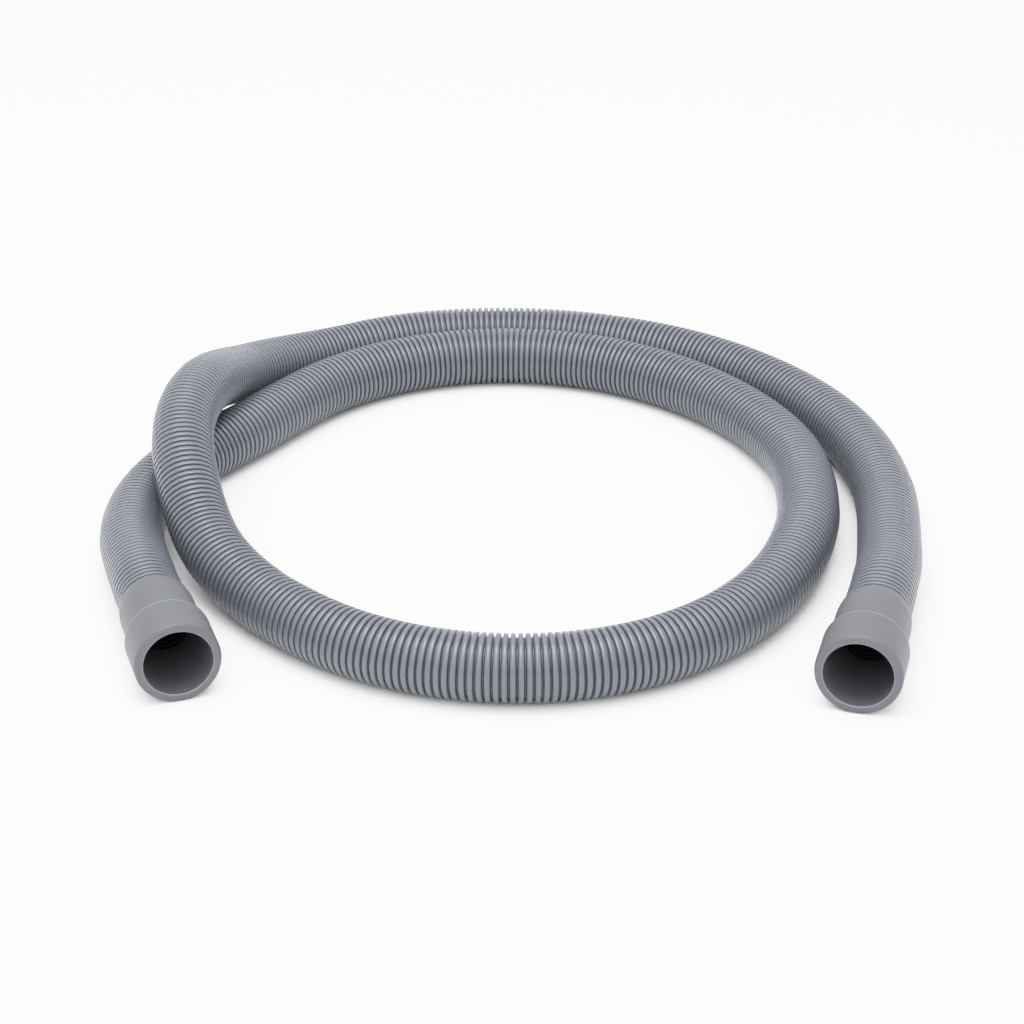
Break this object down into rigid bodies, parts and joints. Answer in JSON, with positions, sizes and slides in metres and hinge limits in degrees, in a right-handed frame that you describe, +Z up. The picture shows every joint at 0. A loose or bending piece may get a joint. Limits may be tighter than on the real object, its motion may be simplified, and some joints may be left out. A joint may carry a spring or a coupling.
{
  "type": "corrugated drain hose",
  "caption": "Flexible ribbed PVC drain hose with a moulded push-on socket cuff on each end, lying in a loose coil.",
  "frame": {"origin": "on the floor that the hose lies on, under the middle of the coil's box", "axes": "+Z up from the floor; +X to the right and +Y to the back, with both mouths facing the front at -Y"},
  "size_m": [0.3641, 0.3726, 0.0564],
  "materials": {
    "hose_pvc": "satin ribbed PVC, blue-grey",
    "cuff_pvc": "smooth moulded soft PVC, neutral grey"
  },
  "bodies": {
    "root": {"left_hose_end": "hose_pvc", "left_hose_length": "hose_pvc", "ring_hose_length": "hose_pvc", "right_hose_length": "hose_pvc", "right_hose_end": "hose_pvc", "left_end_cuff": "cuff_pvc", "right_end_cuff": "cuff_pvc"}
  },
  "joints": []
}
